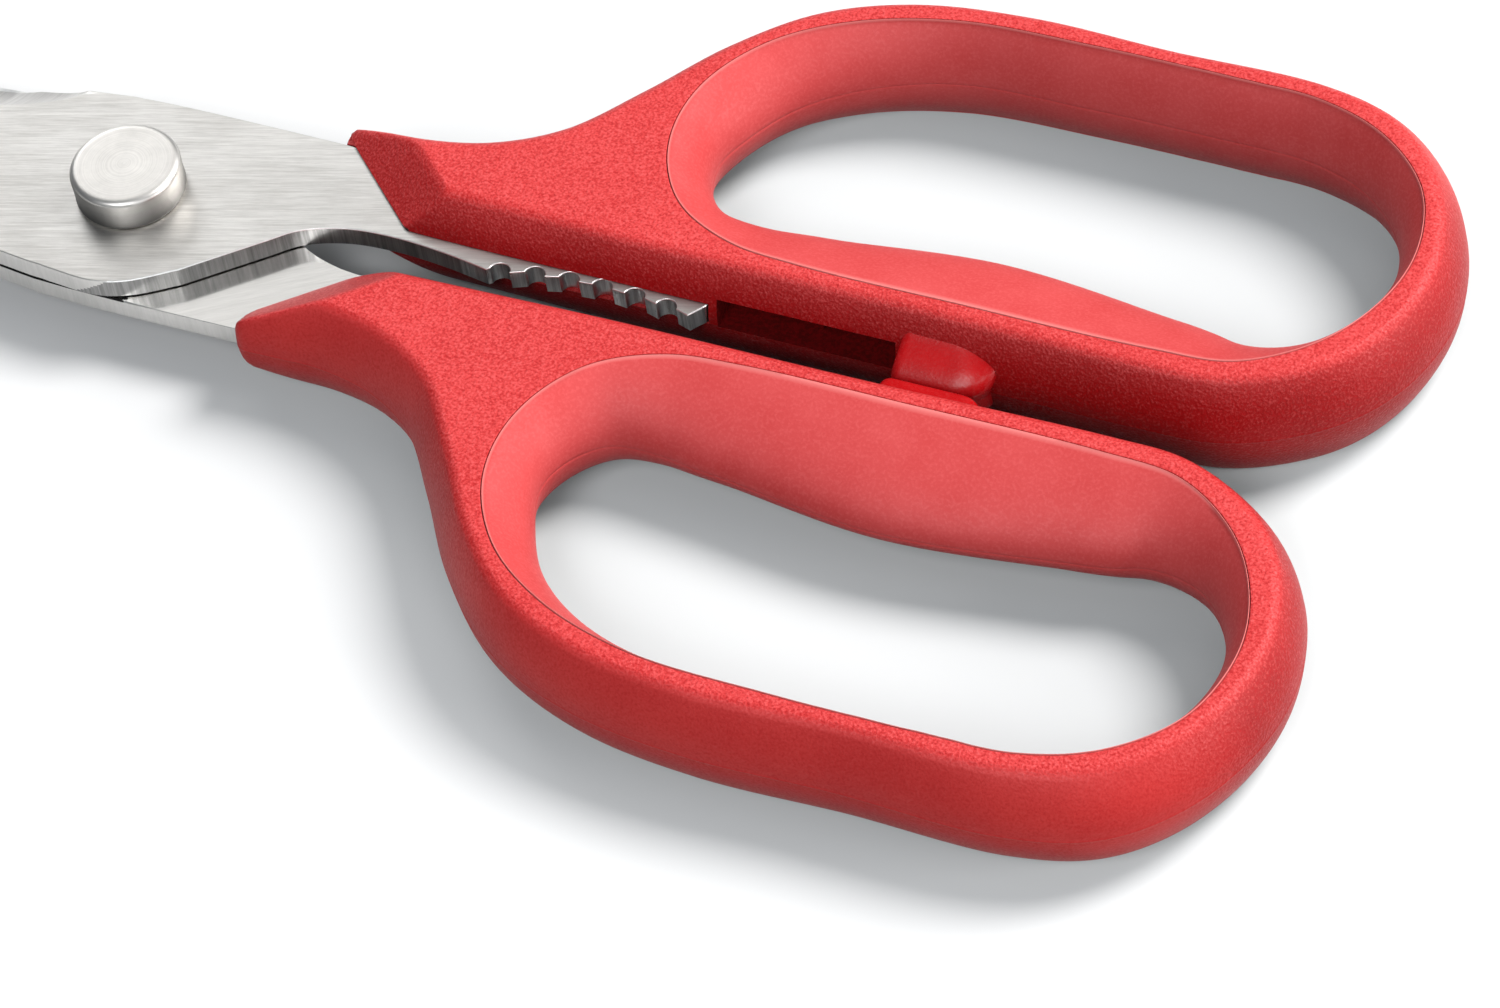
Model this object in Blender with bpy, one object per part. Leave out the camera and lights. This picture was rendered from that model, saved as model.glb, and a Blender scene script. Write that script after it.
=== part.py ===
"""Poultry shears: two mirrored blades on one pivot, each moulded into a loop handle with a soft finger liner."""

import math

import bmesh
import bpy
import numpy as np
from mathutils import Matrix, Vector

# Driving dimensions, in millimetres. Shapes are drawn about the pivot: its axis is Z and the blades meet on
# z = 0. PIVOT_PLACE then stands the shears on the world's z = 0 with the origin under their middle.
MM = 0.001
PIVOT_PLACE = (-20.81, 0.0, 7.0)
GAP = 0.3
HALF_GAP = 0.15
BLADE_THICKNESS = 2.5
EDGE_LAND = 0.45
BEVEL_WIDTH = 4.4
BEVEL_START_X = -11.4
BEVEL_RUN_OUT = 8.6
TIP_X = -96.0
PIVOT_HOLE_RADIUS = 4.0

HANDLE_HALF_HEIGHT = 7.0
EDGE_ROUND = 0.7
NOSE_NORMAL = (0.67, 0.742)
NOSE_OFFSET = 19.6
NOSE_SLOPE = 1.19
NOSE_END_X = 18.6
LINER_THICKNESS = 1.5

TOOTH_PITCH = 3.72
TOOTH_FIRST_X = 42.65
TOOTH_COUNT = 6
GULLET_RADIUS = 1.1
JAW_MIDDLE = (53.3, 1.95)
JAW_CURVE = 0.0095

SLOT_END_X = 86.0
SLOT_TOP = 3.3
SLOT_DEPTH_Y = 6.4
STOP_BASE_X = (86.3, 96.0)
STOP_BASE_Y = 5.3
STOP_SHOULDER_Y = 2.1
STOP_HALF_HEIGHT = 3.2

CAP_RADIUS = 6.0
CAP_TOP = 6.6
CAP_WALL = 1.0
CAP_ROUND = 0.75
SHANK_RADIUS = 2.6
BUSHING_RADII = (2.95, 3.7)
WASHER_RADII = (3.0, 5.8)
HEAD_RADIUS = 5.6
HEAD_BOTTOM = -6.5
NUT_ACROSS_FLATS = 8.0
SEGMENTS = 48

LOOP_POINTS = 64
BORDER_POINTS = 100

# Border of the handle's flat face as (x, y, bulge): bulge is how far the side stands out at mid-height. It
# runs on ahead of the nose, which the nose cuts then take off.
HANDLE_BORDER = [
    (21.2, 6.2, 3.2),
    (36.0, 6.0, 3.5),
    (58.0, 5.35, 2.85),
    (86.0, 5.25, 2.8),
    (112.0, 4.85, 2.6),
    (119.5, 5.2, 2.5),
    (125.2, 7.5, 2.5),
    (130.2, 11.3, 2.5),
    (133.7, 16.8, 2.5),
    (135.3, 24.5, 2.5),
    (134.0, 32.0, 2.6),
    (130.2, 38.9, 2.8),
    (124.6, 43.7, 3.0),
    (116.5, 46.0, 2.9),
    (100.0, 46.2, 2.7),
    (84.5, 46.65, 2.7),
    (72.0, 45.1, 2.7),
    (62.6, 41.0, 2.8),
    (55.4, 34.0, 2.9),
    (49.4, 25.4, 3.0),
    (43.4, 17.8, 3.0),
    (36.5, 13.7, 3.0),
    (29.0, 12.05, 3.0),
    (24.0, 12.0, 3.05),
    (18.0, 12.1, 3.1),
    (12.0, 12.1, 3.1),
    (9.5, 9.2, 3.1),
    (12.0, 6.2, 3.1),
]

# Seam between the hard handle and the soft liner as (x, y, swell): swell is the liner's reach at mid-height.
LINER_SEAM = [
    (54.0, 22.8, 3.7),
    (55.1, 29.3, 4.4),
    (59.5, 36.0, 4.2),
    (67.0, 41.0, 3.5),
    (77.5, 44.05, 2.7),
    (92.0, 44.6, 2.7),
    (106.0, 44.45, 2.7),
    (117.5, 43.9, 2.7),
    (125.3, 40.8, 2.7),
    (131.0, 34.9, 2.8),
    (133.1, 26.8, 2.6),
    (131.9, 19.7, 2.7),
    (127.8, 12.8, 3.9),
    (120.6, 7.8, 7.2),
    (112.0, 6.9, 9.1),
    (92.0, 6.85, 11.3),
    (74.0, 7.0, 9.2),
    (66.0, 7.9, 7.8),
    (59.3, 11.2, 5.6),
    (55.4, 16.6, 4.2),
]

HANDLE_LEVELS = (6.8, 6.3, 4.6, 2.4, 0.0, -2.4, -4.6, -6.3, -6.8)
SEAT_LEVELS = (5.6, 4.2, 2.2, 0.0, -2.2, -4.2, -5.6)
FINGER_LEVELS = (6.3, 4.8, 2.6, 0.0, -2.6, -4.8, -6.3)

STEEL = ("brushed_steel", (0.62, 0.61, 0.59), 1.0, 0.32)
POLISHED = ("polished_steel", (0.72, 0.71, 0.69), 1.0, 0.2)
ZINC = ("zinc_steel", (0.55, 0.56, 0.58), 1.0, 0.4)
BRONZE = ("bearing_bronze", (0.55, 0.37, 0.17), 1.0, 0.4)
HARD_RED = ("hard_red_plastic", (0.62, 0.03, 0.03), 0.0, 0.55)
SOFT_RED = ("soft_red_rubber", (0.70, 0.06, 0.06), 0.0, 0.7)


def clear_scene():
    for obj in list(bpy.data.objects):
        bpy.data.objects.remove(obj, do_unlink=True)


def own_material(obj, look):
    """Gives the object its own material from a (name, colour, metallic, roughness) look."""
    name, colour, metallic, roughness = look
    material = bpy.data.materials.new(obj.name + "_" + name)
    material.use_nodes = True
    shader = material.node_tree.nodes["Principled BSDF"]
    shader.inputs["Base Color"].default_value = (*colour, 1.0)
    shader.inputs["Metallic"].default_value = metallic
    shader.inputs["Roughness"].default_value = roughness
    obj.data.materials.clear()
    obj.data.materials.append(material)


def object_from(bm, name, side=1):
    """Makes an object from a mesh in millimetres; side -1 turns it half a turn about X, to the lower half."""
    bmesh.ops.recalc_face_normals(bm, faces=bm.faces)
    scale = Matrix.Diagonal((MM, side * MM, side * MM, 1.0))
    bmesh.ops.transform(bm, matrix=scale, verts=bm.verts)
    mesh = bpy.data.meshes.new(name)
    bm.to_mesh(mesh)
    bm.free()
    obj = bpy.data.objects.new(name, mesh)
    bpy.context.collection.objects.link(obj)
    return obj


def finish(obj, look, angle=35.0):
    own_material(obj, look)
    obj.data.shade_smooth()
    obj.data.set_sharp_from_angle(angle=math.radians(angle))


def cut(obj, cutters):
    """Takes each cutter away from the object with an exact Boolean, then drops the cutter."""
    for cutter in cutters:
        cutter.hide_render = True
        cutter.display_type = "WIRE"
        modifier = obj.modifiers.new("Cut", "BOOLEAN")
        modifier.operation = "DIFFERENCE"
        modifier.solver = "EXACT"
        modifier.object = cutter
    graph = bpy.context.evaluated_depsgraph_get()
    graph.update()
    mesh = bpy.data.meshes.new_from_object(obj.evaluated_get(graph))
    obj.modifiers.clear()
    obj.data = mesh
    for cutter in cutters:
        bpy.data.objects.remove(cutter, do_unlink=True)


def curve_point(four, knots, t):
    """Point at t on the centripetal Catmull-Rom span between the two middle controls."""
    level = four
    for step in (1, 2, 3):
        span = []
        for k in range(4 - step):
            left = knots[k] if step < 3 else knots[1]
            right = knots[k + step] if step < 3 else knots[2]
            span.append(((right - t) * level[k] + (t - left) * level[k + 1]) / (right - left))
        level = span
    return level[0]


def smooth_curve(points, count, closed=True):
    """Centripetal Catmull-Rom curve through the points, sampled at equal steps of plan length."""
    control = np.array(points, float)
    if not closed:
        control = np.vstack([2.0 * control[0] - control[1], control, 2.0 * control[-1] - control[-2]])
    total = len(control)
    spans = range(total) if closed else range(1, total - 2)
    dense = []
    for i in spans:
        four = [control[(i + k) % total] for k in (-1, 0, 1, 2)]
        knots = [0.0]
        for a, b in zip(four, four[1:]):
            knots.append(knots[-1] + np.linalg.norm((b - a)[:2]) ** 0.5)
        for t in np.linspace(knots[1], knots[2], 24, endpoint=False):
            dense.append(curve_point(four, knots, t))
    dense.append(dense[0] if closed else control[-2])
    path = np.array(dense)
    steps = np.linalg.norm(np.diff(path[:, :2], axis=0), axis=1)
    length = np.concatenate([[0.0], np.cumsum(steps)])
    wanted = np.linspace(0.0, length[-1], count, endpoint=not closed)
    return np.stack([np.interp(wanted, length, column) for column in path.T], axis=1)


def outward(curve):
    """Outward unit normals of a closed counter-clockwise plan curve."""
    tangent = np.roll(curve[:, :2], -1, axis=0) - np.roll(curve[:, :2], 1, axis=0)
    tangent /= np.linalg.norm(tangent, axis=1)[:, None]
    return np.stack([tangent[:, 1], -tangent[:, 0]], axis=1)


def ring(curve, normals, offset, z):
    plan = curve[:, :2] + normals * np.reshape(offset, (-1, 1))
    return np.column_stack([plan, np.full(len(plan), float(z))])


def add_ring(bm, points):
    return [bm.verts.new(Vector(p)) for p in points]


def join_rings(bm, first, second):
    count = len(first)
    for i in range(count):
        j = (i + 1) % count
        bm.faces.new((first[i], first[j], second[j], second[i]))


def prism(outline, low, high):
    """A straight-sided solid over a plan outline."""
    bm = bmesh.new()
    bottom = add_ring(bm, [(x, y, low) for x, y in outline])
    top = add_ring(bm, [(x, y, high) for x, y in outline])
    join_rings(bm, bottom, top)
    bm.faces.new(bottom)
    bm.faces.new(top)
    return bm


def turned(profile, segments=SEGMENTS, closed=False):
    """A solid of revolution about Z from (radius, z) pairs; an open profile starts and ends on the axis."""
    bm = bmesh.new()
    rings = []
    for radius, z in profile:
        if radius == 0.0:
            rings.append([bm.verts.new((0.0, 0.0, z))])
            continue
        angles = [2.0 * math.pi * k / segments for k in range(segments)]
        rings.append(add_ring(bm, [(radius * math.cos(a), radius * math.sin(a), z) for a in angles]))
    pairs = list(zip(rings, rings[1:]))
    if closed:
        pairs.append((rings[-1], rings[0]))
    for first, second in pairs:
        if len(first) == 1 or len(second) == 1:
            apex, circle = (first[0], second) if len(first) == 1 else (second[0], first)
            for i in range(segments):
                bm.faces.new((apex, circle[i], circle[(i + 1) % segments]))
        else:
            join_rings(bm, first, second)
    return bm


def arc(centre, radius, start, end, steps):
    """Points on an arc, angles in degrees, both ends included."""
    return [
        (
            centre[0] + radius * math.cos(math.radians(a)),
            centre[1] + radius * math.sin(math.radians(a)),
        )
        for a in np.linspace(start, end, steps)
    ]


def tooth_line(x):
    """Height of the tooth tips: the jaw is a shallow concave arc."""
    return JAW_MIDDLE[1] - JAW_CURVE * (x - JAW_MIDDLE[0]) ** 2


def half_width(x):
    """Half the blade's width ahead of the pivot: it tapers in a slight convex curve to the tip."""
    t = min(max((-6.0 - x) / (-6.0 - TIP_X), 0.0), 1.0)
    return 12.65 * (1.0 - t) ** 0.9 * (1.0 + 0.28 * t) - 0.55 * math.exp(-(((x + 12.5) / 7.0) ** 2)) + 0.9 * t


def jaw_points():
    points = []
    for k in range(TOOTH_COUNT):
        x = TOOTH_FIRST_X + k * TOOTH_PITCH
        y = tooth_line(x)
        points += arc((x, y), GULLET_RADIUS, 172.0, 8.0, 7)
    return points


def blade_outline():
    """Plan outline, counter-clockwise: back edge, neck, toothed jaw, tang, then the cutting edge to the tip.

    Returns the points and the index range of the cutting edge.
    """
    stations = np.linspace(TIP_X + 1.0, -4.0, 20)
    back = [(x, -half_width(x) - 0.2) for x in stations]
    neck = smooth_curve([(-4.0, -12.9), (1.6, -13.05), (5.2, -12.0), (10.0, -8.9)], 10, closed=False)
    rise = smooth_curve(
        [(17.0, -2.65), (20.0, -0.1), (24.5, 1.5), (30.0, 1.9), (36.0, 1.45), (41.2, 0.62)],
        16,
        closed=False,
    )
    jaw_end = [(63.9, tooth_line(63.9)), (65.4, 2.7), (66.0, 4.4)]
    tang = smooth_curve([(65.0, 7.6), (57.0, 9.8), (44.0, 11.4), (30.0, 12.5), (19.0, 12.75)], 12, closed=False)
    shoulder = smooth_curve([(10.0, 12.8), (0.0, 12.75), (-6.0, half_width(-6.0))], 6, closed=False)
    edge = [(x, half_width(x)) for x in np.linspace(-8.0, TIP_X + 1.0, 28)]
    points = back[:-1]
    for curve in (neck, rise, jaw_points(), jaw_end, tang, shoulder):
        points += [tuple(p[:2]) for p in curve]
    edge_range = range(len(points), len(points) + len(edge))
    points += edge
    points += arc((TIP_X + 1.0, 0.0), half_width(TIP_X + 1.0), 90.0, 270.0, 7)[1:-1]
    return points, edge_range


def bevel_inset(x):
    """Plan width of the ground bevel: a wheel run-out near the pivot, then full width, narrower at the tip."""
    run = min(max((BEVEL_START_X - x) / BEVEL_RUN_OUT, 0.0), 1.0)
    return min(BEVEL_WIDTH * run**0.55, 0.75 * half_width(x))


def build_blade(name, side):
    outline, edge_range = blade_outline()
    top = []
    land = []
    for i, (x, y) in enumerate(outline):
        inset = bevel_inset(x) if i in edge_range else 0.0
        drop = (BLADE_THICKNESS - EDGE_LAND) * min(inset / BEVEL_WIDTH, 1.0)
        if i in edge_range and x < BEVEL_START_X - BEVEL_RUN_OUT:
            drop = BLADE_THICKNESS - EDGE_LAND
        top.append((x, y - inset, BLADE_THICKNESS))
        land.append((x, y, BLADE_THICKNESS - max(drop, 0.02)))
    bm = bmesh.new()
    bottom_ring = add_ring(bm, [(x, y, HALF_GAP) for x, y in outline])
    land_ring = add_ring(bm, land)
    top_ring = add_ring(bm, top)
    join_rings(bm, bottom_ring, land_ring)
    join_rings(bm, land_ring, top_ring)
    bm.faces.new(bottom_ring)
    bm.faces.new(top_ring)
    bmesh.ops.remove_doubles(bm, verts=bm.verts, dist=0.004)
    blade = object_from(bm, name, side)
    hole_profile = [(0.0, -1.0), (PIVOT_HOLE_RADIUS, -1.0), (PIVOT_HOLE_RADIUS, 4.0), (0.0, 4.0)]
    hole = object_from(turned(hole_profile), "hole", side)
    notch_profile = [(0.0, -1.0), (3.4, -1.0), (3.9, 0.0), (6.0, 2.6), (6.4, 3.1), (0.0, 3.1)]
    notch = turned(notch_profile, 40)
    bmesh.ops.translate(notch, verts=notch.verts, vec=(-33.0, half_width(-33.0) + 1.6, 0.0))
    cut(blade, [hole, object_from(notch, "notch", side)])
    finish(blade, STEEL, 25.0)
    return blade


def side_profile(z):
    return 1.0 - (z / HANDLE_HALF_HEIGHT) ** 2


def edge_inset(z):
    """Inset that rounds the rim where the side meets the flat face."""
    drop = HANDLE_HALF_HEIGHT - abs(z)
    if drop >= EDGE_ROUND:
        return 0.0
    return EDGE_ROUND - math.sqrt(EDGE_ROUND**2 - (EDGE_ROUND - drop) ** 2)


def finger_reach(swell, z):
    return swell * side_profile(z)


def seat_reach(swell, z, thickness, least):
    """Reach of the seat under the liner, measured square to the finger surface."""
    lean = np.sqrt(1.0 + (2.0 * swell * z / HANDLE_HALF_HEIGHT**2) ** 2)
    return np.maximum(least, finger_reach(swell, z) - thickness * lean)


def nose_cutter(name, side):
    """Takes the front of the handle down to two sloping faces that meet at mid-height."""
    n = Vector((*NOSE_NORMAL, 0.0)).normalized()
    along = Vector((-n.y, n.x, 0.0))
    top = 9.0
    back = NOSE_OFFSET + NOSE_SLOPE * top
    section = [(-40.0, -top), (back, -top), (NOSE_OFFSET, 0.0), (back, top), (-40.0, top)]
    bm = bmesh.new()
    rings = []
    for reach in (-60.0, 60.0):
        rings.append(add_ring(bm, [n * d + along * reach + Vector((0.0, 0.0, z)) for d, z in section]))
    join_rings(bm, rings[0], rings[1])
    bm.faces.new(rings[0])
    bm.faces.new(rings[1])
    return object_from(bm, name, side)


def build_handle(name, side):
    border = smooth_curve(HANDLE_BORDER, BORDER_POINTS)
    seam = smooth_curve(LINER_SEAM[::-1], LOOP_POINTS)
    border_out = outward(border)
    seam_in = -outward(seam)
    bm = bmesh.new()
    outer = []
    for z in (HANDLE_HALF_HEIGHT, *HANDLE_LEVELS, -HANDLE_HALF_HEIGHT):
        reach = border[:, 2] * side_profile(z) - edge_inset(z)
        outer.append(add_ring(bm, ring(border, border_out, reach, z)))
    inner = []
    for z in (HANDLE_HALF_HEIGHT, *SEAT_LEVELS, -HANDLE_HALF_HEIGHT):
        reach = seat_reach(seam[:, 2], z, LINER_THICKNESS + GAP, 0.0)
        inner.append(add_ring(bm, ring(seam, seam_in, reach, z)))
    for first, second in zip(outer, outer[1:]):
        join_rings(bm, first, second)
    for first, second in zip(inner, inner[1:]):
        join_rings(bm, first, second)
    for pair in ((outer[0], inner[0]), (outer[-1], inner[-1])):
        edges = []
        for loop in pair:
            for i, vert in enumerate(loop):
                edges.append(bm.edges.get((vert, loop[(i + 1) % len(loop)])))
        bmesh.ops.triangle_fill(bm, edges=edges, use_beauty=True)
    handle = object_from(bm, name, side)
    tang_pocket = [
        (8.0, -9.0),
        (65.8, -9.0),
        (66.4, 4.3),
        (65.4, 7.9),
        (57.1, 10.15),
        (44.0, 11.75),
        (30.0, 12.85),
        (19.0, 13.1),
        (8.0, 13.1),
    ]
    slot = [(64.0, -9.0), (SLOT_END_X, -9.0), (SLOT_END_X, SLOT_DEPTH_Y), (66.0, SLOT_DEPTH_Y), (64.0, 4.0)]
    stop = [
        (STOP_BASE_X[0] - GAP, -9.0),
        (STOP_BASE_X[1] + GAP, -9.0),
        (STOP_BASE_X[1] + GAP, STOP_BASE_Y + GAP),
        (STOP_BASE_X[0] - GAP, STOP_BASE_Y + GAP),
    ]
    ahead = [(0.0, -20.0), (NOSE_END_X, -20.0), (NOSE_END_X, 30.0), (0.0, 30.0)]
    cutters = [
        nose_cutter("nose", side),
        object_from(prism(ahead, -9.0, 9.0), "ahead", side),
        object_from(prism(tang_pocket, -HALF_GAP, BLADE_THICKNESS + GAP), "pocket", side),
        object_from(prism(slot, -HALF_GAP, SLOT_TOP), "slot", side),
        object_from(prism(stop, -STOP_HALF_HEIGHT - GAP, STOP_HALF_HEIGHT + GAP), "seat", side),
    ]
    cut(handle, cutters)
    finish(handle, HARD_RED)
    return handle


def build_liner(name, side):
    """Soft D-section ring round the finger hole."""
    seam = smooth_curve(LINER_SEAM[::-1], LOOP_POINTS)
    inward = -outward(seam)
    bm = bmesh.new()
    rings = [add_ring(bm, ring(seam, inward, GAP, HANDLE_HALF_HEIGHT))]
    for z in FINGER_LEVELS:
        reach = np.maximum(finger_reach(seam[:, 2], z), GAP + 0.15)
        rings.append(add_ring(bm, ring(seam, inward, reach, z)))
    rings.append(add_ring(bm, ring(seam, inward, GAP, -HANDLE_HALF_HEIGHT)))
    for z in reversed(SEAT_LEVELS):
        reach = seat_reach(seam[:, 2], z, LINER_THICKNESS, GAP)
        rings.append(add_ring(bm, ring(seam, inward, reach, z)))
    for first, second in zip(rings, rings[1:] + rings[:1]):
        join_rings(bm, first, second)
    liner = object_from(bm, name, side)
    finish(liner, SOFT_RED, 50.0)
    return liner


def build_stop(name, side, reach, nose_x):
    """Plug with a rounded head: it sits in the handle's inner wall and meets the one opposite."""
    radius = STOP_SHOULDER_Y - reach
    left, right = STOP_BASE_X
    outline = [(left, STOP_BASE_Y), (left, reach + 0.4), (left + 0.4, reach)]
    outline += arc((nose_x - radius, STOP_SHOULDER_Y), radius, 270.0, 360.0, 7)
    outline += [(right, STOP_SHOULDER_Y), (right, STOP_BASE_Y)]
    bm = bmesh.new()
    rings = []
    for level, inset in ((-1.0, 0.5), (-0.93, 0.12), (-0.8, 0.0), (0.8, 0.0), (0.93, 0.12), (1.0, 0.5)):
        plan = []
        for x, y in outline:
            if y <= STOP_SHOULDER_Y:
                x += inset if x < left + 1.0 else -inset * (x > right - 1.5)
                y += inset * (y < STOP_SHOULDER_Y - 0.2)
            plan.append((x, y, level * STOP_HALF_HEIGHT))
        rings.append(add_ring(bm, plan))
    for first, second in zip(rings, rings[1:]):
        join_rings(bm, first, second)
    bm.faces.new(rings[0])
    bm.faces.new(rings[-1])
    stop = object_from(bm, name, side)
    finish(stop, SOFT_RED, 40.0)
    return stop


def rounded(radius, z, edge, up, steps=5):
    """(radius, z) pairs of a turned corner that rounds from the flat end to the side."""
    points = []
    for k in range(steps):
        a = 0.5 * math.pi * k / (steps - 1)
        points.append((radius - edge + edge * math.sin(a), z - up * (edge - edge * math.cos(a))))
    return points


def build_pivot():
    base = BLADE_THICKNESS + GAP
    inner = CAP_RADIUS - CAP_WALL
    profile = [(0.0, CAP_TOP)] + rounded(CAP_RADIUS, CAP_TOP, CAP_ROUND, 1.0)
    profile += [(CAP_RADIUS, base + 0.35), (CAP_RADIUS - 0.2, base + 0.1), (CAP_RADIUS - 0.35, base)]
    profile += [(inner, base), (inner, CAP_TOP - CAP_WALL), (0.0, CAP_TOP - CAP_WALL)]
    cap = object_from(turned(profile, 64), "pivot_cap")
    finish(cap, POLISHED)

    bolt_profile = [(0.0, HEAD_BOTTOM), (3.6, HEAD_BOTTOM)]
    for k in range(1, 5):
        a = 0.5 * math.pi * k / 4
        bolt_profile.append((3.6 + 2.0 * math.sin(a), HEAD_BOTTOM + 1.4 * (1.0 - math.cos(a))))
    bolt_profile += [(HEAD_RADIUS, -3.6), (SHANK_RADIUS, -3.6), (SHANK_RADIUS, 4.9), (2.2, 5.3), (0.0, 5.3)]
    bolt = object_from(turned(bolt_profile), "pivot_bolt")
    finish(bolt, POLISHED)

    washer = turned(
        [(WASHER_RADII[0], -3.3), (WASHER_RADII[1], -3.3), (WASHER_RADII[1], -2.8), (WASHER_RADII[0], -2.8)],
        closed=True,
    )
    finish(object_from(washer, "back_washer"), ZINC)

    bushing = turned(
        [(BUSHING_RADII[0], -2.3), (BUSHING_RADII[1], -2.3), (BUSHING_RADII[1], 2.3), (BUSHING_RADII[0], 2.3)],
        closed=True,
    )
    finish(object_from(bushing, "pivot_bushing"), BRONZE)

    spring = turned([(3.0, 3.15), (4.7, 2.8), (4.7, 3.1), (3.0, 3.45)], closed=True)
    finish(object_from(spring, "disc_spring"), ZINC)

    corner = 0.5 * NUT_ACROSS_FLATS / math.cos(math.pi / 6.0)
    hexagon = arc((0.0, 0.0), corner, 0.0, 300.0, 6)
    nut = object_from(prism(hexagon, 3.75, 5.25), "pivot_nut")
    bore = object_from(turned([(0.0, 3.0), (2.9, 3.0), (2.9, 6.0), (0.0, 6.0)]), "bore")
    cut(nut, [bore])
    finish(nut, ZINC)


def main():
    clear_scene()
    build_blade("upper_blade", 1)
    build_blade("lower_blade", -1)
    for name, side in (("upper", 1), ("lower", -1)):
        build_handle(name + "_handle", side)
        build_liner(name + "_liner", side)
    build_stop("upper_stop", 1, -0.55, 97.1)
    build_stop("lower_stop", -1, 0.85, 96.5)
    build_pivot()
    hinge = bpy.data.objects.new("upper_half_hinge", None)
    for name in ("upper_blade", "upper_handle", "upper_liner", "upper_stop"):
        bpy.data.objects[name].parent = hinge
    bpy.context.collection.objects.link(hinge)
    for obj in bpy.data.objects:
        if obj.parent is None:
            obj.location = [MM * place for place in PIVOT_PLACE]


main()
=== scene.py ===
"""Looks of the poultry shears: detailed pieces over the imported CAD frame, with procedural materials."""

import math

import bmesh
import bpy
import numpy as np
from mathutils import Matrix, Vector


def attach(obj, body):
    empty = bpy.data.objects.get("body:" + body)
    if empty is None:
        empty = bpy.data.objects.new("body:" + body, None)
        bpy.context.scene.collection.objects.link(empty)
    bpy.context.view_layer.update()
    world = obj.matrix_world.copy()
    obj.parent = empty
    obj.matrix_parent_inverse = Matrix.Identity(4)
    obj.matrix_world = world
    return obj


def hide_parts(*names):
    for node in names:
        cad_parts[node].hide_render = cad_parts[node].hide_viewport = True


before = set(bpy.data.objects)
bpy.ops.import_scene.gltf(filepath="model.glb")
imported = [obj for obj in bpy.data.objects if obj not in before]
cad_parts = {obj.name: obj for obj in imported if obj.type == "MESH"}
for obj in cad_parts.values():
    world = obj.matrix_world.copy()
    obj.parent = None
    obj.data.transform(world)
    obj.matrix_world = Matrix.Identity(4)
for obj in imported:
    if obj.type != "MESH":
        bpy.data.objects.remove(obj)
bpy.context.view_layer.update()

# Millimetres about the pivot, as in the CAD: its axis is Z and the blades meet on z = 0. The upper half
# is drawn, and the lower half is the same turned half a turn about X.
MM = 0.001
PIVOT_PLACE = (-20.81, 0.0, 7.0)

# Handle: hard shell, its parting line and its wall next to the gap between the handles. The sides of shell,
# blade and cap stay inside the CAD by SHRINK.
SHRINK = 0.06
HALF_HEIGHT = 7.0
FACE_HEIGHT = 6.975
EDGE_ROUND = 0.72
PARTING_WIDTH = 0.09
SHELL_PARTING = 0.05
INNER_WALL_Y = 5.2
INNER_WALL_BULGE = 2.72

# Nose: two facets that meet in a crest on z = 0, and a front end that bends back above and below it.
NOSE_NORMAL = np.array((0.67, 0.742))
NOSE_OFFSET = 19.6
NOSE_SLOPE = 1.19
NOSE_CREST_ROUND = 0.1
NOSE_END_X = 18.95
NOSE_END_FLAT = 2.4
NOSE_END_BEND = 0.35

# Side slot behind the jaw, and the bumper that grows out of the wall past its end.
SLOT_START_X = 66.2
SLOT_END_X = 86.0
SLOT_LOW = -0.15
SLOT_HIGH = 3.3
STOP_START_X = 86.35
STOP_CORNER = 0.9
STOP_BACK_Y = 2.9
STOP_STRETCH = 1.25
UPPER_BUMPER = {"reach": -0.52, "nose_x": 97.3, "flat": 1.0, "height": 5.3, "taper": 0.32}
LOWER_BUMPER = {"reach": 0.88, "nose_x": 97.2, "flat": 2.6, "height": 4.2, "taper": 0.0}

# Liner, and the seam between it and the shell. A lip gives the rings next to the seam as (how far inside
# the seam, depth below the face).
LINER_THICKNESS = 1.5
LINER_PARTING = 0.06
SEAM_GAP = 0.07
SHELL_LIP = ((-0.35, 0.0), (-0.12, 0.0), (-0.04, 0.03), (0.0, 0.12))
LINER_LIP = ((SEAM_GAP, 0.03), (SEAM_GAP + 0.05, 0.0))
LINER_SHOULDER = 0.12
SEAT_LEVELS = (6.3, 5.6, 4.9, 4.2, 3.2, 2.2, 1.1, 0.0, -1.1, -2.2, -3.2, -4.2, -4.9, -5.6, -6.3)

# Blade plate with its small edge breaks, the bevel ground on the cutting edge, and the thin second bevel
# along it. A drop below BEVELLED_DROP leaves a plain rounded rim.
BLADE_THICKNESS = 2.5
BLADE_LOW = 0.08
TOP_ROUND = 0.13
LOW_CHAMFER = 0.15
JAW_CHAMFER = 0.06
EDGE_LAND = 0.45
BEVEL_WIDTH = 4.4
BEVEL_START_X = -11.4
BEVEL_RUN_OUT = 8.6
BEVELLED_DROP = 0.3
MICRO_START_X = -17.4
MICRO_WIDTH = 0.7
SHOULDER_X = -6.0
TIP_X = -96.0
TIP_ROUND = 1.1
HOLE_RADIUS = 4.0
NOTCH_X = -33.0
BRUSHING = math.radians(-16.5)
GRINDING = math.radians(-33.0)

# Where the plate's upright edge is darkened by painted shade, with a painted highlight on its top rim, where
# the painted shade of the seam between the plates ends, and the toothed jaw.
SHADED_WALL_FROM_X = -0.9
SHADED_WALL_SLANT = 1.75
SHADED_WALL_BELOW_Y = 7.0
RIM_HIGHLIGHT = 0.14
SEAM_END_X = 5.0
JAW_START_X = 38.0
JAW_END_X = 63.9
JAW_MIDDLE = (53.3, 1.95)
JAW_CURVE = 0.0095
TOOTH_PITCH = 3.72
TOOTH_FIRST_X = 42.65
TOOTH_COUNT = 6
GULLET_RADIUS = 1.1

# Cap over the pivot.
CAP_RADIUS = 6.0
CAP_TOP = 6.58
CAP_ROUND = 0.8

# A face whose normal's z is past this looks straight up or down.
FACING = 0.97

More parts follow.
